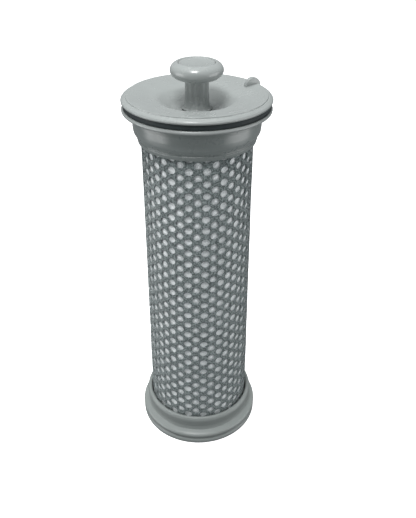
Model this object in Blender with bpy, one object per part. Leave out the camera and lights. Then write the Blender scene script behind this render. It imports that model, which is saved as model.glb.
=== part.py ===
"""Cartridge filter with a pull knob: a two-stage cartridge, 52 mm across its lid and 157 mm tall.

An outer sleeve (mesh fabric over foam on a cage) stands on a base cap. A pleated inner element drops into
it from above, and the lid, with its seal, stem and knob, locks onto the element with a three-lug bayonet.

Frame: +Z is the axis, up. The origin is the centre of the underside. Sizes below are in millimetres.
"""

import math

import bmesh
import bpy
from mathutils import Matrix

MM = 0.001
GAP = 0.3  # clearance that touching pieces keep
OUTER_STEPS = 40  # facets round the pieces that show
INNER_STEPS = 32  # facets round the pieces inside
SMALL_STEPS = 20  # facets round the fastener and its washer

# ---- driving dimensions --------------------------------------------------------------------------
SLEEVE_R = 20.0  # outside of the mesh fabric under the collar
SLEEVE_FOOT_R = 21.0  # and in the base: the sleeve widens downwards
SLEEVE_WIDENS = 112.0  # height where it starts to widen
MESH_THICK = 0.5
FOAM_THICK = 3.7
CAGE_THICK = 0.8
BASE_R = 25.2  # base flange and seal
BASE_LIP_R = 22.75
BASE_LIP_TOP = 12.8
BASE_FLANGE = (3.3, 5.5)  # underside and top of the base flange
COLLAR_R = 22.5
COLLAR_Z = (129.8, 140.5)
LID_R = 26.0
FLANGE_R = 26.0
FLANGE_SEAT_R = 22.9  # inside of the flat ring that sits on a housing
FLANGE_Z = (140.6, 141.75)
LID_EDGE_Z = (143.9, 145.6)  # underside and top of the lid's edge
WELL_FLOOR = 140.4  # bottom of the lid's dish, round the stem
STEM_R = (4.3, 4.05)  # foot and top
STEM_Z = (140.7, 151.9)
KNOB_R = 9.05
KNOB_MID = 153.75
KNOB_HALF_HEIGHT = 2.95
KNOB_DISH_R = 6.2
TAB_ANGLE = 28.5  # index tab, degrees from +X towards +Y

# ---- sizes that follow ---------------------------------------------------------------------------
MESH_IN = SLEEVE_R - MESH_THICK
SLEEVE_FLARE = SLEEVE_FOOT_R - SLEEVE_R
FOAM_OUT = MESH_IN - GAP
FOAM_IN = FOAM_OUT - FOAM_THICK
CAGE_OUT = FOAM_IN - GAP
CAGE_IN = CAGE_OUT - CAGE_THICK
ELEMENT_R = CAGE_IN - 0.4  # the element slides inside the cage
TROUGH_FLOOR = 5.2
SPIGOT_R = 21.4  # the base cap's, under its flange
SLEEVE_Z = (TROUGH_FLOOR + GAP, 133.6)
INSERT_Z = (SLEEVE_Z[1] + GAP, 140.3)
PLUG_BORE = 13.0  # base cap's bore, which the element plugs into
PLUG_R = PLUG_BORE - 0.4
OUTLET_R = 7.2
CAP_PLATE = (130.4, 131.8)  # element's top plate
MEDIA_Z = (10.6, CAP_PLATE[0] - GAP)
MEDIA_R = (9.0, ELEMENT_R - 0.8)
PLEATS = 32
CORE_R = (7.6, 8.6)
SKIRT_R = (12.6, 13.8)  # lid carrier's inner skirt
LUGS = 3
LUG_ARC = 40.0
LUG_STOP = (-38.5, -21.5)  # block beside each neck lug that stops the lid at both ends of its turn, degrees
NECK_R = (9.6, 11.0)
NECK_TOP = 136.6
WEB_Z = (137.1, 138.4)  # lid carrier's web, which the screw clamps
SCREW_R = 2.0
SCREW_CLEAR = 2.3


# ---- materials -----------------------------------------------------------------------------------
def material(name, colour, roughness, metallic=0.0):
    made = bpy.data.materials.new(name)
    made.use_nodes = True
    shader = made.node_tree.nodes["Principled BSDF"]
    shader.inputs["Base Color"].default_value = (*colour, 1.0)
    shader.inputs["Roughness"].default_value = roughness
    shader.inputs["Metallic"].default_value = metallic
    return made


# ---- shape tools ---------------------------------------------------------------------------------
def arc(centre_r, centre_z, radius, start, end, steps, tall=None):
    """Points of an arc in the (r, z) half plane. tall is the half height of an elliptical one."""
    tall = radius if tall is None else tall
    points = []
    for i in range(steps + 1):
        angle = math.radians(start + (end - start) * i / steps)
        points.append((centre_r + radius * math.cos(angle), centre_z + tall * math.sin(angle)))
    return points


def place(name, mesh_data, look):
    """Makes the object, shaded smooth with its real edges sharp."""
    mesh = bpy.data.meshes.new(name)
    mesh_data.to_mesh(mesh)
    mesh_data.free()
    mesh.materials.append(look)
    mesh.shade_smooth()
    mesh.set_sharp_from_angle(angle=math.radians(32))
    obj = bpy.data.objects.new(name, mesh)
    bpy.context.scene.collection.objects.link(obj)
    return obj


def turned_mesh(outline, steps, radius_at=None):
    """A closed (r, z) outline turned round Z. It runs anticlockwise with r to the right and z up.

    Points at r = 0 become one vertex. radius_at(r, z, angle), where given, varies the radius round the axis.
    """
    work = bmesh.new()
    rings = []
    for r, z in outline:
        if r == 0:
            rings.append([work.verts.new((0, 0, z * MM))] * steps)
            continue
        ring = []
        for i in range(steps):
            angle = 2 * math.pi * i / steps
            radius = radius_at(r, z, angle) if radius_at else r
            x, y = radius * math.cos(angle), radius * math.sin(angle)
            ring.append(work.verts.new((x * MM, y * MM, z * MM)))
        rings.append(ring)
    for low, high in zip(rings, rings[1:] + rings[:1]):
        for i in range(steps):
            j = (i + 1) % steps
            corners = []
            for vert in (low[i], low[j], high[j], high[i]):
                if vert not in corners:
                    corners.append(vert)
            if len(corners) > 2:
                work.faces.new(corners)
    return work


def turned(name, outline, look, steps=OUTER_STEPS, radius_at=None):
    return place(name, turned_mesh(outline, steps, radius_at), look)


def ring_outline(inner, outer, low, high):
    return [(inner, low), (outer, low), (outer, high), (inner, high)]


def windowed_tube(name, inner, outer, levels, is_open, look, steps):
    """A tube whose wall is a grid of cells between the levels. is_open(column, row) leaves a cell out."""
    work = bmesh.new()
    rows = len(levels) - 1

    def ring(radius, z):
        turn = [2 * math.pi * i / steps for i in range(steps)]
        return [work.verts.new((radius * MM * math.cos(a), radius * MM * math.sin(a), z * MM)) for a in turn]

    inside = [ring(inner, z) for z in levels]
    outside = [ring(outer, z) for z in levels]

    def solid(column, row):
        return 0 <= row < rows and not is_open(column % steps, row)

    for row in range(rows):
        in_low, in_high = inside[row:row + 2]
        out_low, out_high = outside[row:row + 2]
        for i in range(steps):
            if not solid(i, row):
                continue
            j = (i + 1) % steps
            work.faces.new((out_low[i], out_low[j], out_high[j], out_high[i]))
            work.faces.new((in_low[j], in_low[i], in_high[i], in_high[j]))
            if not solid(i, row - 1):
                work.faces.new((in_low[i], in_low[j], out_low[j], out_low[i]))
            if not solid(i, row + 1):
                work.faces.new((out_high[i], out_high[j], in_high[j], in_high[i]))
            if not solid(i - 1, row):
                work.faces.new((in_low[i], out_low[i], out_high[i], in_high[i]))
            if not solid(i + 1, row):
                work.faces.new((out_low[j], in_low[j], in_high[j], out_high[j]))
    loose = [vert for vert in work.verts if not vert.link_faces]
    bmesh.ops.delete(work, geom=loose, context="VERTS")
    return place(name, work, look)


def sector_mesh(inner, outer, low, high, start, end, steps=4):
    """A block of a ring between two angles, such as a bayonet lug."""
    work = bmesh.new()
    columns = []
    for i in range(steps + 1):
        angle = math.radians(start + (end - start) * i / steps)
        corners = ((inner, low), (outer, low), (outer, high), (inner, high))
        columns.append([work.verts.new((r * MM * math.cos(angle), r * MM * math.sin(angle), z * MM))
                        for r, z in corners])
    for first, second in zip(columns, columns[1:]):
        for k in range(4):
            work.faces.new((first[k], second[k], second[(k + 1) % 4], first[(k + 1) % 4]))
    work.faces.new(columns[0])
    work.faces.new(columns[-1][::-1])
    bmesh.ops.recalc_face_normals(work, faces=work.faces)
    return work


def helper(name, work):
    """A shape that only joins or cuts another, left out of the build."""
    mesh = bpy.data.meshes.new(name)
    work.to_mesh(mesh)
    work.free()
    obj = bpy.data.objects.new(name, mesh)
    obj.hide_render = True
    obj.display_type = "WIRE"
    bpy.context.scene.collection.objects.link(obj)
    return obj


def combine(target, other, operation="UNION"):
    modifier = target.modifiers.new(operation.title() + "_" + other.name, "BOOLEAN")
    modifier.operation = operation
    modifier.solver = "EXACT"
    modifier.object = other


# ---- outer sleeve: stays put ---------------------------------------------------------------------
def base_cap(look):
    under, top = BASE_FLANGE
    bead = 0.5 * (top - under)
    trough = SLEEVE_FOOT_R + GAP
    outline = [(11.0, 0.0), (SPIGOT_R, 0.0), (SPIGOT_R, under), (24.2, under)]
    outline += arc(BASE_R - bead, under + bead, bead, -60, 75, 4)
    outline += [(23.7, 5.9), (23.2, 6.5), (23.0, 8.2)]
    outline += arc(BASE_LIP_R - 1.1, BASE_LIP_TOP - 1.3, 1.1, 5, 75, 3, tall=1.3)
    outline += [(trough + 0.3, BASE_LIP_TOP), (trough, BASE_LIP_TOP - 0.4), (trough, TROUGH_FLOOR)]
    outline += [(CAGE_IN - GAP, TROUGH_FLOOR), (CAGE_IN - GAP, 9.0), (PLUG_BORE, 9.0)]
    outline += [(PLUG_BORE, 3.0), (11.0, 3.0)]
    return turned("base_cap", outline, look)


def base_seal(look):
    """The soft ring pushed onto the base cap's spigot, with one sealing bead."""
    bore, top = SPIGOT_R + GAP, BASE_FLANGE[0] - GAP
    outline = [(bore, 0.0), (24.8, 0.0)]
    outline += arc(BASE_R - 1.2, 1.35, 1.15, -60, 60, 4)
    outline += [(24.3, 2.7), (23.8, top), (bore, top)]
    return turned("base_seal", outline, look)


def mesh_sleeve(look):
    low, high = SLEEVE_Z
    outline = [(MESH_IN + SLEEVE_FLARE, low), (SLEEVE_FOOT_R, low), (SLEEVE_R, SLEEVE_WIDENS)]
    outline += [(SLEEVE_R, high), (MESH_IN, high), (MESH_IN, SLEEVE_WIDENS)]
    return turned("mesh_sleeve", outline, look)


def foam_sleeve(look):
    low, high = SLEEVE_Z
    outline = [(FOAM_IN, low), (FOAM_OUT + SLEEVE_FLARE, low), (FOAM_OUT, SLEEVE_WIDENS), (FOAM_OUT, high)]
    outline += [(FOAM_IN, high)]
    return turned("foam_sleeve", outline, look)


def sleeve_cage(look):
    """Eight staves and six hoops that hold the sleeve's ends apart."""
    low, high = SLEEVE_Z
    hoops = 6
    hoop_tall = 3.0
    span = (high - low - hoop_tall) / (hoops - 1)
    levels = []
    for i in range(hoops):
        levels += [low + i * span, low + i * span + hoop_tall]
    stave_every = INNER_STEPS // 8
    return windowed_tube("sleeve_cage", CAGE_IN, CAGE_OUT, levels,
                         lambda column, row: row % 2 == 1 and column % stave_every != 0, look, INNER_STEPS)


def collar(look):
    low, high = COLLAR_Z
    inner = SLEEVE_R + GAP
    outline = [(inner, low), (inner + 0.55, low), (inner + 0.7, low + 1.2), (inner + 0.6, low + 1.8)]
    outline += [(21.5, low + 2.6), (22.15, low + 3.8), (COLLAR_R, low + 5.6), (COLLAR_R, low + 7.6)]
    outline += [(COLLAR_R - 0.3, low + 9.4), (COLLAR_R - 0.9, high), (inner, high)]
    return turned("collar", outline, look)


def collar_insert(look):
    """The rigid ring inside the collar. It caps the sleeve's ends and guides the lid."""
    low, high = INSERT_Z
    outer, bore = SLEEVE_R, 18.9
    outline = [(CAGE_IN + 0.1, low), (outer, low), (outer, high), (bore, high)]
    outline += [(bore, low + 1.4), (CAGE_IN + 0.1, low + 1.4)]
    return turned("collar_insert", outline, look, INNER_STEPS)


# ---- pleated element: lifts out of the sleeve ----------------------------------------------------
def element_bottom_cap(look):
    """Plug, O-ring groove and outlet spout below, and the tray that the pleats stand in above."""
    groove = (5.2, 7.0)
    outline = [(OUTLET_R, 0.9), (9.6, 0.9), (9.6, 3.6), (PLUG_R, 3.6), (PLUG_R, groove[0])]
    outline += [(PLUG_R - 1.4, groove[0]), (PLUG_R - 1.4, groove[1]), (PLUG_R, groove[1]), (PLUG_R, 9.3)]
    outline += [(ELEMENT_R, 9.3), (ELEMENT_R, 12.8), (ELEMENT_R - 0.5, 12.8), (ELEMENT_R - 0.5, 10.3)]
    outline += [(CORE_R[0] - GAP, 10.3), (OUTLET_R, 9.9)]
    return turned("element_bottom_cap", outline, look, INNER_STEPS)


def element_oring(look):
    section = 0.6
    outline = arc(PLUG_R - 0.5, 6.1, section, 0, 300, 5)
    return turned("element_oring", outline, look, INNER_STEPS)


def core_tube(look):
    """The slotted tube that keeps the pleats from folding inwards."""
    low, high = MEDIA_Z
    hoops = 5
    hoop_tall = 8.0
    span = (high - low - hoop_tall) / (hoops - 1)
    levels = []
    for i in range(hoops):
        levels += [low + i * span, low + i * span + hoop_tall]
    return windowed_tube("core_tube", CORE_R[0], CORE_R[1], levels,
                         lambda column, row: row % 2 == 1 and column % 2 == 1, look, 24)


def pleated_media(look):
    """One zigzag sheet closed into a star, drawn as its inner and outer walls."""
    inner, outer = MEDIA_R
    wall = 0.45  # sheet thickness, measured along the radius at a fold
    work = bmesh.new()

    def ring(shift, z):
        points = []
        for i in range(2 * PLEATS):
            angle = math.pi * i / PLEATS
            fold = outer - wall if i % 2 == 0 else inner
            radius = (fold + shift) * MM
            points.append(work.verts.new((radius * math.cos(angle), radius * math.sin(angle), z * MM)))
        return points

    low_in, low_out = ring(0.0, MEDIA_Z[0]), ring(wall, MEDIA_Z[0])
    high_in, high_out = ring(0.0, MEDIA_Z[1]), ring(wall, MEDIA_Z[1])
    for i in range(2 * PLEATS):
        j = (i + 1) % (2 * PLEATS)
        work.faces.new((low_out[i], low_out[j], high_out[j], high_out[i]))
        work.faces.new((low_in[j], low_in[i], high_in[i], high_in[j]))
        work.faces.new((low_in[i], low_in[j], low_out[j], low_out[i]))
        work.faces.new((high_out[i], high_out[j], high_in[j], high_in[i]))
    return place("pleated_media", work, look)


def pleat_band(name, middle, look):
    """A glued band round the pleats that keeps them evenly spaced."""
    inner = MEDIA_R[1] + 0.1
    return turned(name, ring_outline(inner, inner + 0.4, middle - 1.5, middle + 1.5), look, INNER_STEPS)


def element_top_cap(look):
    """Tray over the pleats, and the neck whose three lugs the lid turns onto."""
    low, plate_top = CAP_PLATE
    spigot = CORE_R[0] - GAP
    outline = [(0, low), (spigot - 1.2, low), (spigot - 1.2, low - 2.0), (spigot, low - 2.0), (spigot, low)]
    outline += [(ELEMENT_R - 0.5, low), (ELEMENT_R - 0.5, low - 2.4), (ELEMENT_R, low - 2.4)]
    outline += [(ELEMENT_R, plate_top), (NECK_R[1], plate_top), (NECK_R[1], NECK_TOP), (NECK_R[0], NECK_TOP)]
    outline += [(NECK_R[0], plate_top), (0, plate_top)]
    cap = turned("element_top_cap", outline, look, INNER_STEPS)
    inner, outer = NECK_R[1] - 0.7, 12.2
    for i in range(LUGS):
        middle = 360 * i / LUGS
        first, last = middle + LUG_STOP[0], middle + LUG_STOP[1]
        lug = sector_mesh(inner, outer, NECK_TOP - 1.2, NECK_TOP - 0.05, last - 2.0, middle + LUG_ARC / 2)
        combine(cap, helper("neck_lug_%d" % (i + 1), lug))
        stop = sector_mesh(inner + 0.1, outer - 0.05, 132.5, NECK_TOP - 0.1, first, last, 2)
        combine(cap, helper("neck_stop_%d" % (i + 1), stop))
    return cap


# ---- lid: turns on the element and lifts it out --------------------------------------------------
def seal_carrier(look):
    """Lower flange, the skirt that centres it in the collar, the bayonet skirt with its lugs, and the web."""
    under, top = FLANGE_Z
    hole = SCREW_CLEAR + 0.2
    inner, outer = SKIRT_R
    outline = [(hole, WEB_Z[0]), (inner, WEB_Z[0]), (inner, 132.6), (outer, 132.6)]
    outline += [(outer, under), (17.4, under), (17.4, 136.2), (18.5, 136.2), (18.5, under + 0.25)]
    outline += [(FLANGE_SEAT_R, under + 0.25), (FLANGE_SEAT_R, under), (FLANGE_R - 0.4, under)]
    outline += arc(FLANGE_R - 0.5, 0.5 * (under + top), 0.5, -50, 50, 3)
    outline += [(FLANGE_R - 0.4, top), (inner, top), (inner, WEB_Z[1]), (hole, WEB_Z[1])]
    carrier = turned("seal_carrier", outline, look)
    for i in range(LUGS):
        middle = 360 * i / LUGS
        lug = sector_mesh(11.3, inner + 0.6, 133.3, 135.0, middle - LUG_ARC / 2, middle + LUG_ARC / 2)
        combine(carrier, helper("carrier_lug_%d" % (i + 1), lug))
    return carrier


def lid_seal(look):
    low, high = FLANGE_Z[1] + 0.2, LID_EDGE_Z[0] - 0.2
    outer = FLANGE_R - 0.75
    outline = [(21.6, low), (outer, low), (outer + 0.15, 0.5 * (low + high)), (outer, high), (21.6, high)]
    return turned("lid_seal", outline, look)


def lid_plate(look):
    """The dished top plate: a shallow cone, then a rounded well round the stem, with a bevelled edge."""
    under, top = LID_EDGE_Z
    wall = 1.6
    top_side = [(LID_R, under + 0.7), (LID_R - 0.25, under + 1.15), (LID_R - 1.7, top)]
    top_side += [(LID_R - 1.85, top - 0.12), (LID_R - 2.0, top - 0.02)]
    top_side += [(19.0, 144.95), (14.8, 144.35), (12.9, 143.85), (11.2, 142.9), (9.6, 141.5), (8.2, 140.7)]
    groove = WELL_FLOOR - 0.9  # bottom of the stem O-ring's groove
    top_side += [(6.8, WELL_FLOOR), (5.1, WELL_FLOOR), (5.1, groove), (SCREW_CLEAR, groove)]
    under_side = [(SCREW_CLEAR, WELL_FLOOR - wall), (7.4, WELL_FLOOR - wall), (9.4, 139.4), (11.0, 140.9)]
    under_side += [(12.2, 141.9), (13.6, 142.6), (21.2, under), (LID_R - 0.1, under)]
    plate = turned("lid_plate", top_side + under_side, look)
    combine(plate, helper("index_tab", index_tab_mesh()))
    return plate


def index_tab_mesh():
    """A half-round tab that stands on the lid's edge, flat faces along the radius of the lid."""
    middle, radius, thick = 22.3, 3.1, 1.7
    foot = LID_EDGE_Z[1] - 1.2
    work = bmesh.new()
    sides = []
    for offset in (-thick / 2, thick / 2):
        outline = arc(middle, LID_EDGE_Z[1] - 0.55, radius, 0, 180, 10)
        outline += [(middle - radius, foot), (middle + radius, foot)]
        sides.append([work.verts.new((r * MM, offset * MM, z * MM)) for r, z in outline])
    first, second = sides
    work.faces.new(first)
    work.faces.new(second[::-1])
    for i in range(len(first)):
        j = (i + 1) % len(first)
        work.faces.new((first[j], first[i], second[i], second[j]))
    bmesh.ops.recalc_face_normals(work, faces=work.faces)
    bmesh.ops.rotate(work, verts=work.verts, matrix=Matrix.Rotation(math.radians(TAB_ANGLE), 3, "Z"))
    return work


def stem(look):
    """A fluted column on a foot that spreads the screw's load over the lid."""
    low, high = STEM_Z
    flutes = 12
    depth = 0.22

    def fluted(r, z, angle):
        if r < 3.5 or z < low + 1.2 or z > high - 0.9:
            return r
        return r - depth * (0.5 - 0.5 * math.cos(flutes * angle))

    foot, neck = STEM_R
    outline = [(SCREW_CLEAR, low), (5.6, low), (5.6, low + 0.6), (foot + 0.35, low + 1.1), (foot, low + 1.9)]
    outline += [(neck, high - 1.0), (neck, high - 0.9), (neck, high), (SCREW_CLEAR, high)]
    return turned("stem", outline, look, 2 * flutes, fluted)


def stem_oring(look):
    outline = arc(3.75, WELL_FLOOR - 0.3, 0.5, 0, 300, 5)
    return turned("stem_oring", outline, look, SMALL_STEPS)


def knob(look):
    """A flattened ball with a dished top, counterbored for the screw head and its cap."""
    flat = KNOB_MID - KNOB_HALF_HEIGHT
    bulge = 4.1
    outline = [(SCREW_CLEAR, STEM_Z[1] + GAP), (STEM_R[1] + GAP, STEM_Z[1] + GAP), (STEM_R[1] + GAP, flat)]
    outline += arc(KNOB_R - bulge, KNOB_MID, bulge, -88, 64, 10, tall=KNOB_HALF_HEIGHT)
    outline += [(KNOB_DISH_R, KNOB_MID + 2.4), (KNOB_DISH_R, KNOB_MID + 1.3)]
    outline += [(4.0, KNOB_MID + 1.3), (4.0, KNOB_MID - 0.9)]
    outline += [(SCREW_CLEAR, KNOB_MID - 0.9)]
    return turned("knob", outline, look, INNER_STEPS)


def knob_cap(look):
    """The dished disc that hides the screw."""
    low = KNOB_MID + 1.6
    outer = KNOB_DISH_R - GAP
    outline = [(0, low), (outer, low), (outer, KNOB_MID + 2.35), (4.2, KNOB_MID + 2.15), (0, KNOB_MID + 2.05)]
    return turned("knob_cap", outline, look, INNER_STEPS)


def centre_screw(look):
    """Pan head screw with a hexagon socket, down through knob, stem, lid and carrier into the nut."""
    head_low = KNOB_MID - 0.6
    outline = [(0, 133.2), (SCREW_R - 0.4, 133.2), (SCREW_R, 133.6), (SCREW_R, head_low), (3.5, head_low)]
    outline += [(3.5, head_low + 1.1), (2.9, head_low + 1.6), (0, head_low + 1.6)]
    screw = turned("centre_screw", outline, look, SMALL_STEPS)
    floor, mouth = head_low + 0.5, head_low + 2.5
    socket = turned_mesh([(0, floor), (1.5, floor), (1.5, mouth), (0, mouth)], 6)
    combine(screw, helper("hex_socket", socket), "DIFFERENCE")
    return screw


def washer(look):
    outline = ring_outline(SCREW_CLEAR, 4.8, WEB_Z[0] - 1.0, WEB_Z[0] - 0.2)
    return turned("washer", outline, look, SMALL_STEPS)


def centre_nut(look):
    """Hexagon nut, 7 mm across its flats."""
    across = 7.0 / math.sqrt(3)
    work = turned_mesh([(0, 133.9), (across, 133.9), (across, 135.9), (0, 135.9)], 6)
    nut = place("centre_nut", work, look)
    bore = turned_mesh([(0, 133.0), (SCREW_CLEAR, 133.0), (SCREW_CLEAR, 137.0), (0, 137.0)], SMALL_STEPS)
    combine(nut, helper("nut_bore", bore), "DIFFERENCE")
    return nut


# ---- assembly ------------------------------------------------------------------------------------
def clear_scene():
    for obj in list(bpy.data.objects):
        bpy.data.objects.remove(obj)


def hold(name, members):
    """Parents one rigid group to an empty on the axis, where its joint is."""
    empty = bpy.data.objects.new(name, None)
    bpy.context.scene.collection.objects.link(empty)
    for obj in members:
        obj.parent = empty


def build():
    clear_scene()
    grey_plastic = material("grey_plastic", (0.49, 0.53, 0.52), 0.38)
    grey_rubber = material("grey_rubber", (0.40, 0.44, 0.43), 0.42)
    black_rubber = material("black_rubber", (0.028, 0.036, 0.038), 0.55)
    mesh_fabric = material("mesh_fabric", (0.17, 0.21, 0.21), 0.85)
    white_foam = material("white_foam", (0.66, 0.70, 0.71), 0.9)
    filter_paper = material("filter_paper", (0.80, 0.80, 0.76), 0.92)
    white_plastic = material("white_plastic", (0.74, 0.75, 0.74), 0.45)
    steel = material("steel", (0.62, 0.62, 0.60), 0.3, 1.0)

    hold("sleeve", [
        base_cap(grey_plastic),
        base_seal(grey_rubber),
        mesh_sleeve(mesh_fabric),
        foam_sleeve(white_foam),
        sleeve_cage(white_plastic),
        collar(grey_rubber),
        collar_insert(white_plastic),
    ])
    hold("element", [
        element_bottom_cap(white_plastic),
        element_oring(black_rubber),
        core_tube(white_plastic),
        pleated_media(filter_paper),
        pleat_band("pleat_band_lower", 51.0, white_plastic),
        pleat_band("pleat_band_upper", 90.0, white_plastic),
        element_top_cap(white_plastic),
    ])
    hold("lid", [
        seal_carrier(grey_plastic),
        lid_seal(black_rubber),
        lid_plate(grey_plastic),
        stem(grey_plastic),
        stem_oring(black_rubber),
        knob(grey_plastic),
        knob_cap(grey_plastic),
        centre_screw(steel),
        washer(steel),
        centre_nut(steel),
    ])


build()
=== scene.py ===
import math
import random

import bmesh
import bpy
from mathutils import Matrix, Vector, noise

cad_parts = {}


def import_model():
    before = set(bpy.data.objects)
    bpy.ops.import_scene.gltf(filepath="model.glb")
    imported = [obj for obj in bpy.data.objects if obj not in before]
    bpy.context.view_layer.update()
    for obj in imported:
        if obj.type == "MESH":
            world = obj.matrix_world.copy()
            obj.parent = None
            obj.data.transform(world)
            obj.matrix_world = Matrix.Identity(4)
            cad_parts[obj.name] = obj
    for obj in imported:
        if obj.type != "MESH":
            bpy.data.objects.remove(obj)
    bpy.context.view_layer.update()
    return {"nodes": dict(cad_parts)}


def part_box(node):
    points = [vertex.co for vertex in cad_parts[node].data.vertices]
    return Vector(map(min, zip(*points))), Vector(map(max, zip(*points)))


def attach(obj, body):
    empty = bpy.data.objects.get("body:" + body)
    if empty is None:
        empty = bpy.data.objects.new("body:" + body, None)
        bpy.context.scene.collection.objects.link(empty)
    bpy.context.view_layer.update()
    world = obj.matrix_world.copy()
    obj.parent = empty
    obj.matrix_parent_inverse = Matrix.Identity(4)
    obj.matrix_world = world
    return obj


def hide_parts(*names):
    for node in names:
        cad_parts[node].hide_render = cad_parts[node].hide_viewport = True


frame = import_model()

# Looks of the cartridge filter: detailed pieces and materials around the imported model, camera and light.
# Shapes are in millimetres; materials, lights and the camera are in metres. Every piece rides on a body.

MM = 0.001
FINE = 144  # facets round a turned piece
FINER = 192  # the same for the widest pieces, in the lid


def extent(node):
    """Outer radius, bottom and top of a CAD node."""
    low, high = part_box(node)
    return (high.x - low.x) / 2 / MM, low.z / MM, high.z / MM


SLEEVE_FOOT_R, SLEEVE_LOW, SLEEVE_HIGH = extent("mesh_sleeve")
FOAM_FOOT_R = extent("foam_sleeve")[0]
SLEEVE_R = 20.0  # under the collar
SLEEVE_WIDENS = 112.0  # height where the sleeve starts to widen
BASE_R, _, BASE_TOP = extent("base_cap")
COLLAR_R, COLLAR_LOW, COLLAR_TOP = extent("collar")
LID_R, LID_FLOOR, _ = extent("lid_plate")
SEAL_R, SEAL_LOW, SEAL_TOP = extent("lid_seal")
FLANGE_R, SKIRT_LOW, FLANGE_TOP = extent("seal_carrier")
KNOB_R, KNOB_LOW, KNOB_TOP = extent("knob")
_, STEM_LOW, STEM_TOP = extent("stem")
MEDIA_R, MEDIA_LOW, MEDIA_TOP = extent("pleated_media")


# ---- node helpers --------------------------------------------------------------------------------
class Nodes:
    """Builds one material's node tree."""

    def __init__(self, name):
        self.material = bpy.data.materials.new(name)
        self.material.use_nodes = True
        self.tree = self.material.node_tree
        self.shader = self.tree.nodes["Principled BSDF"]
        self.place = self.tree.nodes.new("ShaderNodeTexCoord").outputs["Object"]

    def add(self, kind, inputs=None, **settings):
        node = self.tree.nodes.new(kind)
        for key, value in settings.items():
            setattr(node, key, value)
        for key, value in (inputs or {}).items():
            self.put(node.inputs[key], value)
        return node

    def put(self, socket, value):
        """Links value to the socket if it is an output, or else sets it there."""
        if isinstance(value, bpy.types.NodeSocket):
            self.tree.links.new(value, socket)
        else:
            socket.default_value = value

    def math(self, operation, a, b=0.0):
        node = self.add("ShaderNodeMath", {0: a, 1: b}, operation=operation)
        return node.outputs[0]

    def noise(self, scale, detail=2.0, roughness=0.5, vector=None):
        inputs = {"Vector": vector or self.place, "Scale": scale, "Detail": detail, "Roughness": roughness}
        return self.add("ShaderNodeTexNoise", inputs).outputs["Fac"]

    def spread(self, value, low, high, out_low=0.0, out_high=1.0):
        """Maps low..high of value onto out_low..out_high."""
        inputs = {"Value": value, "From Min": low, "From Max": high, "To Min": out_low, "To Max": out_high}
        return self.add("ShaderNodeMapRange", inputs).outputs["Result"]

    def mix(self, factor, a, b, blend="MIX"):
        node = self.add("ShaderNodeMix", data_type="RGBA", blend_type=blend)
        self.put(node.inputs[0], factor)
        self.put(node.inputs[6], a)
        self.put(node.inputs[7], b)
        return node.outputs[2]

    def bump(self, height, strength, distance, under=None):
        node = self.add("ShaderNodeBump", {"Height": height, "Strength": strength, "Distance": distance})
        if under is not None:
            self.put(node.inputs["Normal"], under)
        return node.outputs["Normal"]

    def set(self, **values):
        """Sets inputs of the shader, named with _ for a space."""
        for key, value in values.items():
            self.put(self.shader.inputs[key.replace("_", " ")], value)


def shade(colour, factor):
    """The colour made lighter or darker, with alpha."""
    return tuple(min(1.0, c * factor) for c in colour) + (1.0,)


# ---- materials -----------------------------------------------------------------------------------
def moulded(name, colour, rough, grain=0.12, gloss=0.5):
    """Injection-moulded plastic: faint cloudiness, a fine spark-eroded grain and slightly uneven gloss."""
    n = Nodes(name)
    cloud = n.noise(90, 3.0)
    n.set(Base_Color=n.mix(n.spread(cloud, 0.3, 0.7), shade(colour, 0.965), shade(colour, 1.03)))
    smear = n.noise(260, 2.0)
    n.set(Roughness=n.spread(smear, 0.3, 0.7, rough - 0.035, rough + 0.045))
    eroded = n.noise(3200, 2.0, 0.6)
    n.set(Normal=n.bump(eroded, grain, 0.00002))
    n.shader.inputs["Specular IOR Level"].default_value = gloss
    return n.material


def soft_rubber(name, colour, rough):
    """Moulded elastomer: matte, with fine bloom and specks of dust."""
    n = Nodes(name)
    bloom = n.noise(420, 4.0, 0.6)
    n.set(Base_Color=n.mix(n.spread(bloom, 0.35, 0.75), shade(colour, 0.85), shade(colour, 1.3)))
    n.set(Roughness=n.spread(bloom, 0.3, 0.7, rough - 0.05, rough + 0.08))
    n.set(Normal=n.bump(n.noise(3800, 2.0), 0.35, 0.00003))
    return n.material


def round_the_axis(n, radius):
    """Arc length round Z and height, both in millimetres, from the object's own coordinates."""
    split = n.add("ShaderNodeSeparateXYZ", {"Vector": n.place})
    turn = n.math("ARCTAN2", split.outputs["Y"], split.outputs["X"])
    return n.math("MULTIPLY", turn, radius), n.math("MULTIPLY", split.outputs["Z"], 1 / MM)


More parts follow.
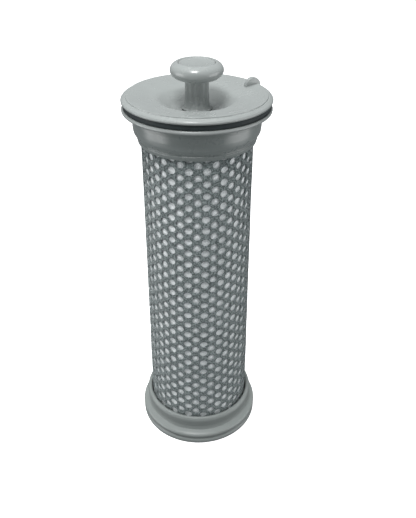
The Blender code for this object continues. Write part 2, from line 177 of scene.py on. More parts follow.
def knitted(name, dark, light):
    """Knitted mesh: columns of V stitches in a melange yarn, with painted highlights on the stitch crests.
    """
    n = Nodes(name)
    wale, course = 2 * math.pi * SLEEVE_R / 200, 0.52  # width and height of a stitch
    slant = 1.1  # stitches that a leg of the V climbs
    along, up = round_the_axis(n, SLEEVE_R)
    across = n.math("PINGPONG", n.math("DIVIDE", along, wale), 0.5)
    slanted = n.math("ADD", n.math("DIVIDE", up, course), n.math("MULTIPLY", across, slant))
    stitch = n.math("MULTIPLY_ADD", n.math("SINE", n.math("MULTIPLY", slanted, 2 * math.pi)), 0.5)
    stitch.node.inputs[2].default_value = 0.5
    valley = n.spread(n.math("ABSOLUTE", n.math("SUBTRACT", across, 0.25)), 0.25, 0.1)
    yarn = n.math("MULTIPLY", stitch, valley)
    fibre = n.noise(2600, 3.0, 0.65)
    melange = n.noise(1700, 2.0, 0.75)
    flecks = n.spread(melange, 0.42, 0.62)
    # colour: the stitch crests are painted lighter as a highlight; the melange flecks are the yarn's own
    crest_sheen_and_flecks = n.math("ADD", n.math("MULTIPLY", yarn, 0.35), n.math("MULTIPLY", flecks, 0.65))
    n.set(Base_Color=n.mix(crest_sheen_and_flecks, shade(dark, 1.0), shade(light, 1.0)))
    n.set(Roughness=n.spread(fibre, 0.3, 0.7, 0.72, 0.9))
    n.set(Normal=n.bump(fibre, 0.5, 0.00004, n.bump(yarn, 0.9, 0.00012)))
    n.shader.inputs["Sheen Weight"].default_value = 0.25
    n.shader.inputs["Sheen Roughness"].default_value = 0.5
    n.shader.inputs["Specular IOR Level"].default_value = 0.3
    return n.material


def open_foam(name, colour):
    """Pale open-cell foam with pores of uneven size, painted dark with the shade inside them."""
    n = Nodes(name)
    cells = n.add("ShaderNodeTexVoronoi", {"Vector": n.place, "Scale": 2300.0, "Randomness": 1.0})
    cloud = n.noise(350, 3.0)
    pore = n.spread(cells.outputs["Distance"], 0.12, 0.5)
    base = n.mix(n.spread(cloud, 0.3, 0.7), shade(colour, 0.93), shade(colour, 1.04))
    # painted shade: each pore darkened towards 0.72 of the foam's colour
    n.set(Base_Color=n.mix(pore, shade(colour, 0.72), base))
    n.set(Roughness=n.spread(cloud, 0.3, 0.7, 0.85, 0.95))
    n.set(Normal=n.bump(pore, 0.6, 0.00012))
    return n.material


def fibre_sheet(name, colour):
    """Filter paper: felted fibres in two directions over a cloudy ground."""
    n = Nodes(name)
    stretched = []
    for scale in ((1500, 1500, 260), (500, 500, 1900)):
        mapped = n.add("ShaderNodeMapping", {"Vector": n.place, "Scale": scale}).outputs["Vector"]
        stretched.append(n.noise(1.0, 3.0, 0.7, mapped))
    fibres = n.math("MAXIMUM", *stretched)
    cloud = n.noise(240, 3.0)
    ground = n.mix(n.spread(cloud, 0.3, 0.7), shade(colour, 0.94), shade(colour, 1.03))
    n.set(Base_Color=n.mix(n.spread(fibres, 0.5, 0.75), shade(colour, 0.86), ground))
    n.set(Roughness=n.spread(fibres, 0.4, 0.7, 0.82, 0.95))
    n.set(Normal=n.bump(fibres, 0.4, 0.00005))
    return n.material


def turned_steel(name, colour):
    """Machined steel: fine rings round the axis."""
    n = Nodes(name)
    mapped = n.add("ShaderNodeMapping", {"Vector": n.place, "Scale": (300, 300, 9000)}).outputs["Vector"]
    rings = n.noise(1.0, 2.0, 0.6, mapped)
    n.set(Base_Color=n.mix(rings, shade(colour, 0.85), shade(colour, 1.08)))
    n.set(Roughness=n.spread(rings, 0.3, 0.7, 0.24, 0.42))
    n.set(Normal=n.bump(rings, 0.25, 0.00002))
    n.shader.inputs["Metallic"].default_value = 1.0
    return n.material


# ---- shape helpers -------------------------------------------------------------------------------
def rounded(corners, steps=6):
    """A closed (r, z) outline whose corners (r, z, radius) are rounded by arcs."""
    outline = []
    count = len(corners)
    for i, (r, z, radius) in enumerate(corners):
        here = Vector((r, z))
        back = Vector(corners[i - 1][:2]) - here
        ahead = Vector(corners[(i + 1) % count][:2]) - here
        if radius <= 0 or r <= 0:
            outline.append((r, z))
            continue
        half = back.angle(ahead) / 2
        reach = min(radius / math.tan(half), 0.49 * back.length, 0.49 * ahead.length)
        radius = reach * math.tan(half)
        start, end = here + back.normalized() * reach, here + ahead.normalized() * reach
        centre = here + (back.normalized() + ahead.normalized()).normalized() * radius / math.sin(half)
        first, last = start - centre, end - centre
        sweep = first.angle_signed(last)
        pieces = max(2, math.ceil(steps * abs(sweep) / (math.pi / 2)))
        for k in range(pieces + 1):
            # angle_signed is clockwise-positive, so the turn is by minus the sweep
            turn = -sweep * k / pieces
            x = first.x * math.cos(turn) - first.y * math.sin(turn)
            y = first.x * math.sin(turn) + first.y * math.cos(turn)
            outline.append((centre.x + x, centre.y + y))
    return outline


def ellipse(centre_r, centre_z, wide, tall, start, end, steps):
    """Sharp (r, z, 0) corners along an ellipse, from start to end in degrees."""
    points = []
    for i in range(steps + 1):
        angle = math.radians(start + (end - start) * i / steps)
        points.append((centre_r + wide * math.cos(angle), centre_z + tall * math.sin(angle), 0))
    return points


def spot(radius, angle, z):
    """Place, in metres, of a point at a radius, an angle round Z and a height."""
    return radius * MM * math.cos(angle), radius * MM * math.sin(angle), z * MM


def bridge(work, first, second):
    """Faces between two closed rings of as many vertices."""
    count = len(first)
    for k in range(count):
        m = (k + 1) % count
        work.faces.new((first[k], first[m], second[m], second[k]))


def finish_piece(name, work, look, sharp=40):
    """Turns a bmesh into a piece in the scene, shaded smooth with its real edges sharp."""
    bmesh.ops.recalc_face_normals(work, faces=work.faces)
    mesh = bpy.data.meshes.new(name)
    work.to_mesh(mesh)
    work.free()
    mesh.materials.append(look)
    mesh.shade_smooth()
    mesh.set_sharp_from_angle(angle=math.radians(sharp))
    piece = bpy.data.objects.new(name, mesh)
    bpy.context.scene.collection.objects.link(piece)
    return piece


def turned(name, outline, look, steps=FINE, radius_at=None):
    """A closed (r, z) outline turned round Z. Points at r = 0 become one vertex.

    radius_at, if given, says what the radius r becomes at a height and an angle.
    """
    work = bmesh.new()
    rings = []
    for r, z in outline:
        if r <= 0:
            rings.append([work.verts.new((0, 0, z * MM))] * steps)
            continue
        ring = []
        for i in range(steps):
            angle = 2 * math.pi * i / steps
            radius = radius_at(r, z, angle) if radius_at else r
            ring.append(work.verts.new(spot(radius, angle, z)))
        rings.append(ring)
    for low, high in zip(rings, rings[1:] + rings[:1]):
        for i in range(steps):
            j = (i + 1) % steps
            corners = []
            for vert in (low[i], low[j], high[j], high[i]):
                if vert not in corners:
                    corners.append(vert)
            if len(corners) > 2:
                work.faces.new(corners)
    return finish_piece(name, work, look)


def put(piece, body, *nodes):
    """The piece rides on a body and stands for the CAD nodes named."""
    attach(piece, body)
    if nodes:
        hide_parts(*nodes)
    return piece


# ---- mesh sleeve ---------------------------------------------------------------------------------
COLUMNS = 40  # columns of holes round the sleeve
FIRST_COLUMN = math.radians(-89.0)  # angle of one column at the top, from +X
TOP_HOLE = 2.1  # from the collar's lower edge down to the first whole hole
ROW_PITCH = 4.43  # at the top
ROW_STRETCH = 0.0105  # half of how much the spacing grows from row to row
ROWS = 26  # holes in a column
HOLE = (1.47, 1.22)  # half width and half height
TWIST = math.radians(-5.0)  # how far the columns lean over the sleeve's height
BASE_GRIP = (0.2, 5.0)  # how far the fabric is drawn in at the base, and over what height
COLLAR_GRIP = (0.2, 3.0)  # the same at the collar
SET_BACK = 0.06  # from the CAD sleeve in to the fabric's outside
RUMPLE = 0.10  # unevenness of the fabric
FABRIC = 0.28  # thickness
COLUMN_PITCH = 2 * math.pi / COLUMNS * SLEEVE_R
CELL_SLANT = (ROW_PITCH / 2) ** 2 / (2 * COLUMN_PITCH)
CELL_NEAR = COLUMN_PITCH / 2 - CELL_SLANT  # half width of a hole's six-sided cell at its top and bottom
CELL_FAR = COLUMN_PITCH / 2 + CELL_SLANT  # the same at its middle


def lean(z):
    """How far a column has turned at height z."""
    down = (COLLAR_LOW - z) / (COLLAR_LOW - BASE_TOP)
    return TWIST * math.sin(max(-0.1, min(1.1, down)) * math.pi / 2)


def row_height(row):
    """Height of a hole's middle, in rows down from the first; half rows are the next column's."""
    return COLLAR_LOW - TOP_HOLE - ROW_PITCH * row - ROW_STRETCH * row * abs(row)


def flare(z):
    """How much wider the sleeve is at height z than under the collar."""
    down = (SLEEVE_WIDENS - z) / (SLEEVE_WIDENS - SLEEVE_LOW)
    return (SLEEVE_FOOT_R - SLEEVE_R) * max(0.0, down)


def gripped(grip, above):
    """How far the sleeve is drawn in at a distance from the part that grips it."""
    drawn, reach = grip
    near = max(0.0, 1.0 - above / reach)
    return drawn * min(1.0, near) ** 2


def fabric_radius(angle, z, depth):
    """The sleeve's surface: slightly uneven, and drawn in a little at both ends."""
    drawn = gripped(BASE_GRIP, z - BASE_TOP) + gripped(COLLAR_GRIP, COLLAR_LOW - z)
    rumple = RUMPLE * noise.noise(Vector((2.2 * math.cos(angle), 2.2 * math.sin(angle), z / 14)))
    return SLEEVE_R + flare(z) - SET_BACK - drawn + rumple - depth


def fabric_point(work, across, row, depth):
    """across is in millimetres from the first column, and row is as row_height counts it."""
    z = row_height(row)
    angle = FIRST_COLUMN + across / SLEEVE_R + lean(z)
    return work.verts.new(spot(fabric_radius(angle, z, depth), angle, z))


def along(corners, steps):
    """Points from each corner towards the next, without the last corner."""
    points = []
    for (u0, v0), (u1, v1), count in zip(corners, corners[1:], steps):
        points += [(u0 + (u1 - u0) * i / count, v0 + (v1 - v0) * i / count) for i in range(count)]
    return points


def perforated(work):
    """The cells of the fabric: staggered oval holes, each with a rounded lip."""
    rng = random.Random(11)
    corners = [(CELL_FAR, 0), (CELL_NEAR, -0.5), (-CELL_NEAR, -0.5), (-CELL_FAR, 0)]
    corners += [(-CELL_NEAR, 0.5), (CELL_NEAR, 0.5), (CELL_FAR, 0)]
    cell = along(corners, (3, 2, 3, 3, 2, 3))
    lips = ((1.22, 0.0), (1.07, 0.02), (1.0, 0.10), (1.02, FABRIC))  # share of the hole's size, and depth
    for column in range(COLUMNS):
        across, first = column * COLUMN_PITCH, -0.5 * (column % 2)
        for i in range(ROWS):
            row = first + i
            wide = HOLE[0] * rng.uniform(0.94, 1.06)
            tall = HOLE[1] * rng.uniform(0.93, 1.06) / ROW_PITCH
            tilt = rng.uniform(-0.12, 0.12)
            aside = rng.uniform(-0.07, 0.07)
            down = rng.uniform(-0.015, 0.015)
            rings = [[fabric_point(work, across + u, row + v, 0.0) for u, v in cell]]
            for grow, depth in lips:
                ring = []
                for u, v in cell:
                    size = 1 / math.hypot(u / wide, v / tall)
                    hole_u, hole_v = u * size, v * size
                    turned_u = hole_u - tilt * hole_v * ROW_PITCH
                    turned_v = hole_v + tilt * hole_u / ROW_PITCH
                    place = (across + aside + turned_u * grow, row + down + turned_v * grow)
                    ring.append(fabric_point(work, *place, depth))
                rings.append(ring)
            rings.append([fabric_point(work, across + u, row + v, FABRIC) for u, v in cell])
            for outer, inner in zip(rings, rings[1:]):
                bridge(work, outer, inner)


def hem(work, first, peak, dip, limit):
    """A plain hem from the zigzag edge of the cells to a straight edge at the height limit.

    first is the first column whose cells reach the row peak; its neighbours' reach the row dip.
    """
    zigzag = []
    for column in range(first, COLUMNS, 2):
        start = column * COLUMN_PITCH
        end = start + COLUMN_PITCH
        corners = [(start - CELL_NEAR, peak), (start + CELL_NEAR, peak), (start + CELL_FAR, dip)]
        corners += [(end + CELL_NEAR, dip), (end + COLUMN_PITCH - CELL_NEAR, peak)]
        zigzag += along(corners, (2, 3, 2, 3))
    edges = []
    for depth in (0.0, FABRIC):
        inner = [fabric_point(work, u, v, depth) for u, v in zigzag]
        outer = []
        for u, _ in zigzag:
            angle = FIRST_COLUMN + u / SLEEVE_R + lean(limit)
            outer.append(work.verts.new(spot(fabric_radius(angle, limit, depth), angle, limit)))
        bridge(work, inner, outer)
        edges.append(outer)
    bridge(work, *edges)


def knit_sleeve(look):
    """The fabric as a real perforated sheet, with a hem at each end."""
    work = bmesh.new()
    perforated(work)
    last = ROWS - 0.5
    hem(work, 1, -1.0, -0.5, SLEEVE_HIGH)
    hem(work, 0, last, last - 0.5, SLEEVE_LOW)
    bmesh.ops.remove_doubles(work, verts=work.verts, dist=0.004 * MM)
    return finish_piece("mesh_fabric_sleeve", work, look, sharp=80)


def seam_tape(look):
    """The welded tape that closes the sleeve at the back, with a row of weld dents down each side."""
    work = bmesh.new()
    half, thick, dent_depth = 1.5, 0.22, 0.11
    dent_row = 0.55  # the dents' place, as a share of the half width
    rows, under = 236, 0.6  # rows of points, and how far the tape goes under the base and the collar
    low, high = BASE_TOP - under, COLLAR_LOW + under
    sides = ((1.0, 0.0), (1.0, 0.6), (0.86, 1.0), (dent_row, 1.0), (0.2, 1.0))  # shares of half and thick
    profile = [(-half * wide, thick * tall) for wide, tall in sides]
    profile += [(half * wide, thick * tall) for wide, tall in reversed(sides)]
    rings = []
    for i in range(rows + 1):
        z = low + (high - low) * i / rows
        dent = dent_depth if i % 4 in (1, 2) else 0.0
        ring = []
        for across, height in profile:
            lift = height - (dent if abs(abs(across) - half * dent_row) < 0.01 else 0.0)
            angle = math.pi / 2 + across / SLEEVE_R
            ring.append(work.verts.new(spot(fabric_radius(angle, z, -lift), angle, z)))
        rings.append(ring)
    for low_ring, high_ring in zip(rings, rings[1:]):
        bridge(work, low_ring, high_ring)
    work.faces.new(rings[0])
    work.faces.new(rings[-1])
    return finish_piece("sleeve_seam_tape", work, look, sharp=60)


def row_at(z):
    """The row at height z: the inverse of row_height, for rows from 0 down."""
    down = COLLAR_LOW - TOP_HOLE - z
    return (-ROW_PITCH + math.sqrt(max(0.0, ROW_PITCH ** 2 + 4 * ROW_STRETCH * down))) / (2 * ROW_STRETCH)


def swelling(angle, z):
    """1 in the middle of each hole of the fabric, 0 between the holes."""
    row = row_at(z)
    column = (angle - FIRST_COLUMN - lean(z)) * COLUMNS / (2 * math.pi)
    own_column = math.cos(math.pi * column) ** 2 * max(0.0, math.cos(2 * math.pi * row))
    next_column = math.sin(math.pi * column) ** 2 * max(0.0, -math.cos(2 * math.pi * row))
    return max(own_column, next_column)


def foam_tube(look):
    """Foam that swells a little into every hole of the fabric."""
    work = bmesh.new()
    around, layers = COLUMNS * 6, ROWS * 6
    thick, swell, roughness = 3.6, 0.34, 0.03
    proud = 0.06  # from the CAD foam out to the surface between the holes
    edge_layers, edge_drop = 3, 0.3  # how the outside rounds off at both ends
    foam_r = FOAM_FOOT_R - (SLEEVE_FOOT_R - SLEEVE_R)
    outer, inner = [], []
    for i in range(layers + 1):
        z = SLEEVE_LOW + (SLEEVE_HIGH - SLEEVE_LOW) * i / layers
        rim = min(1.0, i / edge_layers, (layers - i) / edge_layers)
        outer_ring, inner_ring = [], []
        for k in range(around):
            angle = 2 * math.pi * k / around
            rough = roughness * noise.noise(Vector((foam_r * math.cos(angle), foam_r * math.sin(angle), z)))
            radius = foam_r + flare(z) + proud + swell * swelling(angle, z) * rim + rough
            radius -= gripped(BASE_GRIP, z - BASE_TOP) + edge_drop * (1 - rim)
            outer_ring.append(work.verts.new(spot(radius, angle, z)))
            inner_ring.append(work.verts.new(spot(foam_r - thick + rough, angle, z)))
        outer.append(outer_ring)
        inner.append(inner_ring)
    for i in range(layers):
        bridge(work, outer[i], outer[i + 1])
        bridge(work, inner[i + 1], inner[i])
    bridge(work, inner[0], outer[0])
    bridge(work, outer[-1], inner[-1])
    return finish_piece("foam_tube", work, look, sharp=60)


# ---- base and collar -----------------------------------------------------------------------------
BASE_SEAL_R, _, BASE_SEAL_TOP = extent("base_seal")
BASE_FLANGE = BASE_SEAL_TOP + 0.3  # underside of the base's flange
INNER_WALL_R = 14.1  # outside of the base's inner wall, which the cage stands round
PLUG_BORE = 13.0


def base(look):
    """The flared base: spigot, flange, the wall and lip round the sleeve, and the plug's bore."""
    trough, spigot = SLEEVE_FOOT_R + 0.3, 21.4
    corners = [(11.0, 0.0, 0.3), (14.6, 0.0, 0.15), (14.6, 0.4, 0.15), (19.4, 0.4, 0.15), (19.4, 0.0, 0.15)]
    corners += [(spigot, 0.0, 0.1), (spigot, BASE_FLANGE, 0.1), (24.5, BASE_FLANGE, 0.25)]
    corners += [(BASE_R, BASE_FLANGE + 0.25, 0.6), (BASE_R, BASE_FLANGE + 1.6, 1.0), (24.1, 5.5, 0.6)]
    corners += [(22.75, 5.85, 0.5), (22.5, 7.6, 2.0), (23.0, 10.6, 2.0)]
    corners += [(23.0, BASE_TOP - 1.3, 1.0), (22.6, BASE_TOP - 0.15, 0.8), (trough + 0.5, BASE_TOP, 0.3)]
    corners += [(trough, BASE_TOP - 0.35, 0.2)]
    corners += [(trough, 5.2, 0.3), (INNER_WALL_R, 5.2, 0.3), (INNER_WALL_R, 9.0, 0.3)]
    corners += [(PLUG_BORE, 9.0, 0.35), (PLUG_BORE, 3.0, 0.2), (11.0, 3.0, 0.2)]
    return turned("base_ring", rounded(corners), look)


def base_seal(look):
    """The soft ring round the base's spigot: one full bead with a groove above it."""
    outer, bore, top = BASE_SEAL_R, 21.7, BASE_SEAL_TOP
    corners = [(bore, 0.0, 0.15), (outer - 0.25, 0.0, 0.4), (outer, 0.7, 0.9), (outer, 1.7, 0.8)]
    corners += [(outer - 0.75, top - 0.35, 0.3), (outer - 1.3, top, 0.15), (bore, top, 0.15)]
    return turned("base_seal_ring", rounded(corners), look)


def collar(look):
    """The soft bowl-shaped collar, with a rolled lip over the top of the sleeve."""
    low, high, inner = COLLAR_LOW, COLLAR_TOP, SLEEVE_R + 0.3
    corners = [(inner, low, 0.08), (inner + 0.55, low, 0.2), (inner + 0.9, low + 1.35, 0.3)]
    corners += [(inner + 0.55, low + 1.75, 0.25), (21.4, low + 2.5, 0.8), (22.3, low + 3.8, 2.4)]
    corners += [(COLLAR_R, low + 5.8, 2.4), (COLLAR_R, low + 8.2, 1.6), (COLLAR_R - 0.9, high, 0.5)]
    corners += [(inner, high, 0.15)]
    return turned("collar_ring", rounded(corners, 10), look)


def collar_guide(look):
    """The rigid ring inside the collar."""
    low, high = SLEEVE_HIGH + 0.3, COLLAR_TOP - 0.3
    corners = [(14.8, low, 0.2), (20.0, low, 0.1), (20.0, high, 0.3), (18.9, high, 0.5)]
    corners += [(18.9, low + 1.4, 0.4), (14.8, low + 1.4, 0.5)]
    return turned("collar_guide_ring", rounded(corners), look)


# ---- lid -----------------------------------------------------------------------------------------
LID_EDGE = SEAL_TOP + 0.2  # underside of the lid's edge
LID_TOP = LID_EDGE + 1.7
WELL = LID_FLOOR + 1.6  # floor of the well round the stem
KNOB_HALF = 2.95  # half the knob's height
KNOB_MID = KNOB_LOW + KNOB_HALF
KNOB_DISH_R = 6.2
CLEAR = 2.3  # radius of the screw's holes
TAB_ANGLE = math.radians(28.5)
TAB_R = 22.3


def lid_plate(look):
    """The dished top, with a bevelled edge, a fine step inside it and the well round the stem."""
    corners = [(LID_R - 0.1, LID_EDGE, 0.1), (LID_R, LID_EDGE + 0.5, 0.3)]
    corners += [(LID_R - 0.35, LID_EDGE + 1.0, 0.5), (LID_R - 1.3, LID_TOP - 0.1, 0.4)]
    corners += [(LID_R - 1.66, LID_TOP - 0.16, 0.1)]
    corners += [(LID_R - 1.76, LID_TOP + 0.26, 0.1), (LID_R - 2.6, LID_TOP + 0.2, 0.3)]
    corners += [(13.6, 144.25, 5.0), (8.8, WELL + 0.35, 2.6), (6.9, WELL, 0.9)]
    corners += [(5.1, WELL, 0.15), (5.1, WELL - 0.9, 0.1), (CLEAR, WELL - 0.9, 0.0), (CLEAR, LID_FLOOR, 0.1)]
    corners += [(7.4, LID_FLOOR, 0.8), (10.9, WELL + 0.5, 0.8), (13.6, 142.6, 0.8), (21.2, LID_EDGE, 0.5)]
    return turned("lid_top", rounded(corners, 8), look, FINER)


def index_tab(look):
    """Half-round tab standing on the lid, with softened edges."""
    radius, half, soft = 3.05, 0.85, 0.28
    middle, foot = LID_TOP - 0.5, LID_TOP - 1.1
    work = bmesh.new()
    slices = []
    bends = [math.radians(a) for a in (0, 30, 60, 90)]
    offsets = [-half + soft * (1 - math.cos(a)) for a in bends]
    offsets += [-x for x in reversed(offsets)]
    shrink = [soft * (1 - math.sin(a)) for a in bends]
    shrink += list(reversed(shrink))
    for offset, less in zip(offsets, shrink):
        reach = radius - less
        outline = [(r, z) for r, z, _ in ellipse(TAB_R, middle, reach, reach, 0, 180, 30)]
        outline += [(TAB_R - reach, foot), (TAB_R + reach, foot)]
        slices.append([work.verts.new((r * MM, offset * MM, z * MM)) for r, z in outline])
    for first, second in zip(slices, slices[1:]):
        bridge(work, first, second)
    work.faces.new(slices[0])
    work.faces.new(slices[-1])
    bmesh.ops.rotate(work, verts=work.verts, matrix=Matrix.Rotation(TAB_ANGLE, 3, "Z"))
    return finish_piece("index_tab", work, look, sharp=50)


def seal(look):
    """The black ring between the lid's two discs, with a crowned outside."""
    inner, outer, crown = 21.6, SEAL_R + 0.05, 0.2
    middle = (SEAL_LOW + SEAL_TOP) / 2
    corners = [(inner, SEAL_LOW, 0.15), (outer - crown, SEAL_LOW, 0.3), (outer, middle, 1.2)]
    corners += [(outer - crown, SEAL_TOP, 0.3), (inner, SEAL_TOP, 0.15)]
    return turned("lid_seal_ring", rounded(corners), look, FINER)


def carrier(look):
    """The lid's lower part: flange, seat on the collar, guide skirt and the bayonet's skirt round a web."""
    web = 137.1
    under, top, seat = FLANGE_TOP - 1.15, FLANGE_TOP, 22.9
    inner, outer = 12.6, 13.8
    corners = [(CLEAR + 0.2, web, 0.1), (inner, web, 0.3), (inner, SKIRT_LOW, 0.2), (outer, SKIRT_LOW, 0.3)]
    corners += [(outer, under, 0.5), (17.4, under, 0.4), (17.4, 136.2, 0.2), (18.5, 136.2, 0.3)]
    corners += [(18.5, under + 0.25, 0.3), (seat, under + 0.25, 0.05), (seat, under, 0.05)]
    corners += [(FLANGE_R - 0.1, under, 0.45), (FLANGE_R, top - 0.5, 0.4), (FLANGE_R - 0.35, top, 0.2)]
    corners += [(inner, top, 0.2), (inner, web + 1.3, 0.4), (CLEAR + 0.2, web + 1.3, 0.1)]
    return turned("lid_flange", rounded(corners), look, FINER)


def carrier_lugs(look):
    """The three lugs inside the skirt that lock under the element's own."""
    work = bmesh.new()
    inner, outer = 11.3, 12.75
    low, high = SKIRT_LOW + 0.7, SKIRT_LOW + 2.4
    lugs, reach, steps = 3, 40, 12
    for lug in range(lugs):
        slices = []
        for i in range(steps + 1):
            angle = math.radians(360 / lugs * lug - reach / 2 + reach * i / steps)
            soft = 0.25 if i in (0, steps) else 0.0
            section = [(inner + soft, low + soft), (outer, low + soft)]
            section += [(outer, high - soft), (inner + soft, high - soft)]
            slices.append([work.verts.new(spot(r, angle, z)) for r, z in section])
        for first, second in zip(slices, slices[1:]):
            bridge(work, first, second)
        work.faces.new(slices[0])
        work.faces.new(slices[-1])
    return finish_piece("bayonet_lugs", work, look, sharp=30)


def stem(look):
    """The knob's column, with shallow flutes that fade out at both ends."""
    flutes, depth = 12, 0.3
    low, high = STEM_LOW, STEM_TOP

    def fluted(r, z, angle):
        if r < 3.5:
            return r  # the bore
        fade = max(0.0, min(1.0, (z - low - 1.0) / 1.2, (high - 1.3 - z) / 1.2))
        return r - fade * depth * (0.5 - 0.5 * math.cos(flutes * angle))

    corners = [(CLEAR, low, 0.1), (5.2, low, 0.1), (5.2, low + 0.35, 0.2), (4.5, low + 0.6, 0.3)]
    corners += [(4.22, low + 1.8, 1.0), (4.05, high - 5.0, 8.0), (4.05, high - 2.4, 2.0)]
    corners += [(4.2, high - 0.9, 0.6), (4.05, high, 0.2), (CLEAR, high, 0.1)]
    outline = subdivided(rounded(corners, 12), 0.5)
    return turned("knob_stem", outline, look, FINE, fluted)


def subdivided(outline, longest):
    """Adds points so that no stretch of an outline is longer than this."""
    made = []
    for (r0, z0), (r1, z1) in zip(outline, outline[1:] + outline[:1]):
        steps = max(1, math.ceil(math.hypot(r1 - r0, z1 - z0) / longest))
        made += [(r0 + (r1 - r0) * i / steps, z0 + (z1 - z0) * i / steps) for i in range(steps)]
    return made


def knob(look):
    """The flattened mushroom, with a dish for its cap and sockets for the stem and the screw."""
    bulge, floor = 4.1, KNOB_MID + 1.3
    corners = [(CLEAR, KNOB_LOW + 1.2, 0.1), (4.35, KNOB_LOW + 1.2, 0.0), (4.35, KNOB_LOW + 0.05, 0.0)]
    corners += ellipse(KNOB_R - bulge, KNOB_MID, bulge, KNOB_HALF, -87, 61, 30)
    corners += [(KNOB_DISH_R + 0.3, KNOB_TOP - 0.02, 0.3), (KNOB_DISH_R, KNOB_TOP - 0.3, 0.12)]
    corners += [(KNOB_DISH_R, floor, 0.1), (4.0, floor, 0.1), (4.0, KNOB_MID - 0.9, 0.1)]
    corners += [(CLEAR, KNOB_MID - 0.9, 0.1)]
    return turned("pull_knob", rounded(corners), look)


def knob_cap(look):
    """The dished disc in the knob's top."""
    outer, low = KNOB_DISH_R - 0.1, KNOB_MID + 1.6
    corners = [(0, low, 0), (outer, low, 0.15), (outer, KNOB_TOP - 0.12, 0.2), (5.2, KNOB_TOP - 0.42, 2.0)]
    corners += [(2.6, KNOB_TOP - 0.62, 2.5), (0, KNOB_TOP - 0.66, 0)]
    return turned("knob_cap_disc", rounded(corners, 10), look)


# ---- element -------------------------------------------------------------------------------------
PLEATS = 32
PLEAT_FOOT_R = 9.05  # inside of the pleats
PAPER = 0.34  # thickness
FOLD = 0.965  # below 1: how sharp the folds are


def pleated_sheet(look):
    """One sheet folded into rounded pleats and closed into a star, with slightly uneven folds."""
    rng = random.Random(5)
    samples, layers = 12, 26
    inner, outer = PLEAT_FOOT_R + PAPER / 2, MEDIA_R - PAPER / 2
    waver = [(rng.uniform(-1, 1), rng.uniform(0, 6.28)) for _ in range(PLEATS)]
    work = bmesh.new()
    rings = []
    for layer in range(layers + 1):
        z = MEDIA_LOW + (MEDIA_TOP - MEDIA_LOW) * layer / layers
        middle = []
        for i in range(PLEATS * samples):
            pleat, part = divmod(i, samples)
            phase = 2 * math.pi * part / samples
            # a softened triangle wave, so that each fold has a small radius
            wave = math.asin(FOLD * math.cos(phase)) / math.asin(FOLD)
            sway, start = waver[pleat]
            bend = 0.010 * sway * math.sin(z / 17 + start) * math.sin(phase / 2) ** 2
            angle = 2 * math.pi * (pleat + part / samples) / PLEATS + bend
            radius = (inner + outer) / 2 + wave * (outer - inner) / 2
            middle.append(Vector((radius * math.cos(angle), radius * math.sin(angle))))
        sides = ([], [])
        for i, here in enumerate(middle):
            ahead = middle[(i + 1) % len(middle)] - middle[i - 1]
            normal = Vector((ahead.y, -ahead.x)).normalized() * PAPER / 2
            for side, offset in zip(sides, (normal, -normal)):
                side.append(work.verts.new(((here.x + offset.x) * MM, (here.y + offset.y) * MM, z * MM)))
        rings.append(sides)
    for (out_low, in_low), (out_high, in_high) in zip(rings, rings[1:]):
        bridge(work, out_low, out_high)
        bridge(work, in_high, in_low)
    for out_ring, in_ring in (rings[0], rings[-1]):
        bridge(work, out_ring, in_ring)
    piece = finish_piece("pleated_filter_sheet", work, look, sharp=80)
    return piece


def bottom_cap(look):
    """The element's lower tray over its plug, with the groove for the plug's seal and the outlet spout."""
    radius, low, high = extent("element_bottom_cap")
    plug, groove, rim = 12.6, 11.2, radius - 0.5
    corners = [(7.2, low, 0.2), (9.6, low, 0.4), (9.6, 3.6, 0.4), (plug, 3.6, 0.5), (plug, 5.2, 0.12)]
    corners += [(groove, 5.2, 0.15), (groove, 7.0, 0.15), (plug, 7.0, 0.12), (plug, 9.3, 0.3)]
    corners += [(radius, 9.3, 0.35), (radius, high, 0.2), (rim, high, 0.2), (rim, 10.3, 0.1)]
    corners += [(7.3, 10.3, 0.2), (7.2, 9.9, 0.1)]
    return turned("element_plug_cap", rounded(corners), look)


def band(name, node, look):
    """A glued band with soft edges."""
    radius, low, high = extent(node)
    inner = radius - 0.4
    corners = [(inner, low, 0.1), (radius, low, 0.16), (radius, high, 0.16), (inner, high, 0.1)]
    return turned(name, rounded(corners), look)


def ring_seal(name, node, section, look):
    """An O-ring of round section, in the place of a CAD one."""
    radius, low, high = extent(node)
    corners = ellipse(radius - section, (low + high) / 2, section, section, 0, 345, 23)
    return turned(name, [(r, z) for r, z, _ in corners], look)


# ---- everything in its place ---------------------------------------------------------------------
LIGHT_GREY = (0.272, 0.292, 0.287)
# collar grey, darker than the lid's: partly its softer moulding and partly painted shade under the lid's
# flange
SOFT_GREY_AND_SHADE = (0.225, 0.252, 0.246)
# base grey: the lid's grey made darker as painted shade, for the less light that falls on the base
SHADED_BASE_GREY = (0.240, 0.262, 0.255)
BLACK = (0.020, 0.030, 0.032)
DARK_YARN = (0.044, 0.060, 0.061)
# light yarn colour, also used for the painted highlight on the stitch crests
LIGHT_YARN_AND_SHEEN = (0.39, 0.45, 0.45)
FOAM_GREY = (0.92, 0.955, 0.96)
PAPER_WHITE = (0.78, 0.78, 0.73)
OFF_WHITE = (0.70, 0.71, 0.69)
STEEL = (0.60, 0.60, 0.58)

grey = moulded("light_grey_moulding", LIGHT_GREY, 0.25, gloss=0.6)
# collar material: its darker colour is partly painted shade
soft = moulded("soft_grey_moulding_and_shade", SOFT_GREY_AND_SHADE, 0.29, gloss=0.75)
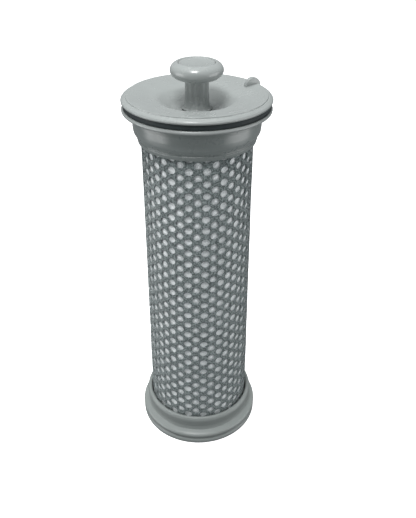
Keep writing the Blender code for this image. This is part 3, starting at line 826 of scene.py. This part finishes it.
# base material: darker than the lid's as painted shade, and rougher
base_grey = moulded("shaded_base_grey_moulding", SHADED_BASE_GREY, 0.40, gloss=0.4)
white = moulded("white_moulding", OFF_WHITE, 0.42)
black = soft_rubber("black_seal_rubber", BLACK, 0.68)
fabric = knitted("knitted_mesh", DARK_YARN, LIGHT_YARN_AND_SHEEN)
foam = open_foam("pale_foam", FOAM_GREY)
paper = fibre_sheet("filter_paper_fibres", PAPER_WHITE)
steel = turned_steel("turned_steel", STEEL)

put(base(base_grey), "sleeve", "base_cap")
put(base_seal(base_grey), "sleeve", "base_seal")
put(collar(soft), "sleeve", "collar")
put(collar_guide(white), "sleeve", "collar_insert")
sleeve = put(knit_sleeve(fabric), "sleeve", "mesh_sleeve")
seam = put(seam_tape(fabric), "sleeve")
tube = put(foam_tube(foam), "sleeve", "foam_sleeve")

put(lid_plate(grey), "lid", "lid_plate")
put(index_tab(grey), "lid")
put(seal(black), "lid", "lid_seal")
put(carrier(grey), "lid", "seal_carrier")
put(carrier_lugs(grey), "lid")
put(stem(grey), "lid", "stem")
put(knob(grey), "lid", "knob")
put(knob_cap(grey), "lid", "knob_cap")
put(ring_seal("stem_foot_oring", "stem_oring", 0.45, black), "lid", "stem_oring")

put(pleated_sheet(paper), "element", "pleated_media")
put(bottom_cap(white), "element", "element_bottom_cap")
put(band("lower_pleat_band", "pleat_band_lower", white), "element", "pleat_band_lower")
put(band("upper_pleat_band", "pleat_band_upper", white), "element", "pleat_band_upper")
put(ring_seal("plug_oring", "element_oring", 0.55, black), "element", "element_oring")

KEPT = {"sleeve_cage": white, "core_tube": white, "element_top_cap": white,
        "centre_screw": steel, "washer": steel, "centre_nut": steel}
for node, look in KEPT.items():
    frame["nodes"][node].data.materials.clear()
    frame["nodes"][node].data.materials.append(look)


# ---- floor, light and camera ---------------------------------------------------------------------
def floor():
    """A pale disc that throws no light of its own onto the object."""
    work = bmesh.new()
    bmesh.ops.create_circle(work, cap_ends=True, segments=96, radius=3.0)
    mesh = bpy.data.meshes.new("floor")
    work.to_mesh(mesh)
    work.free()
    n = Nodes("pale_floor")
    cloud = n.noise(6, 2.0)
    n.set(Base_Color=n.mix(cloud, (0.86, 0.86, 0.86, 1), (0.90, 0.90, 0.90, 1)))
    n.shader.inputs["Roughness"].default_value = 0.9
    n.shader.inputs["Emission Color"].default_value = (1, 1, 1, 1)
    n.shader.inputs["Emission Strength"].default_value = 0.9
    mesh.materials.append(n.material)
    piece = bpy.data.objects.new("floor", mesh)
    bpy.context.scene.collection.objects.link(piece)
    piece.location.z = -0.0002  # clear of the base's underside
    piece.visible_diffuse = False
    piece.visible_glossy = False


OBJECT_MIDDLE = Vector((0, 0, 0.08))


def area_light(name, place, size, power, shines):
    """A rectangular softbox at place, in metres, that faces the object. shines: whether gloss shows it."""
    light = bpy.data.lights.new(name, "AREA")
    light.shape = "RECTANGLE"
    light.size, light.size_y = size
    light.energy = power
    lamp = bpy.data.objects.new(name, light)
    lamp.location = place
    lamp.rotation_euler = (OBJECT_MIDDLE - Vector(place)).to_track_quat("-Z", "Y").to_euler()
    lamp.visible_glossy = shines
    bpy.context.scene.collection.objects.link(lamp)


def world(strength, backdrop):
    """Even light from all round, behind it a white backdrop that only the camera sees."""
    scene_world = bpy.data.worlds.new("studio")
    bpy.context.scene.world = scene_world
    scene_world.use_nodes = True
    tree = scene_world.node_tree
    tree.nodes.clear()
    light = tree.nodes.new("ShaderNodeBackground")
    light.inputs["Color"].default_value = (0.93, 0.97, 1.0, 1)
    light.inputs["Strength"].default_value = strength
    seen = tree.nodes.new("ShaderNodeBackground")
    seen.inputs["Color"].default_value = (1, 1, 1, 1)
    seen.inputs["Strength"].default_value = backdrop
    path = tree.nodes.new("ShaderNodeLightPath")
    mix = tree.nodes.new("ShaderNodeMixShader")
    out = tree.nodes.new("ShaderNodeOutputWorld")
    tree.links.new(path.outputs["Is Camera Ray"], mix.inputs[0])
    tree.links.new(light.outputs[0], mix.inputs[1])
    tree.links.new(seen.outputs[0], mix.inputs[2])
    tree.links.new(mix.outputs[0], out.inputs["Surface"])


def camera(place, down, turn, roll, lens):
    """Looks along +Y from place, pitched down, turned left by turn and rolled. Angles are in radians."""
    lens_data = bpy.data.cameras.new("camera")
    lens_data.lens = lens
    lens_data.clip_start, lens_data.clip_end = 0.01, 20
    seen_from = bpy.data.objects.new("camera", lens_data)
    pitched = Matrix.Rotation(math.pi / 2 - down, 4, "X") @ Matrix.Rotation(roll, 4, "Z")
    seen_from.matrix_world = Matrix.Translation(place) @ (Matrix.Rotation(turn, 4, "Z") @ pitched)
    bpy.context.scene.collection.objects.link(seen_from)
    bpy.context.scene.camera = seen_from


floor()
LIGHTS = (  # name, place, size, power, shown in gloss
    ("key", (-0.070, -0.242, 0.666), (0.17, 0.17), 2.9, True),
    ("top", (-0.05, 0.10, 0.65), (0.40, 0.40), 2.8, False),
    ("left", (-0.46, -0.12, 0.06), (0.40, 0.36), 1.4, True),
    ("right", (0.46, -0.12, 0.06), (0.40, 0.36), 1.2, True),
)
world(strength=0.26, backdrop=1.0)
for light in LIGHTS:
    area_light(*light)
camera(place=Vector((0, -0.2043, 0.2103)), down=0.5716, turn=-0.0194, roll=0.0038, lens=42.34)
bpy.context.scene.view_settings.view_transform = "Standard"
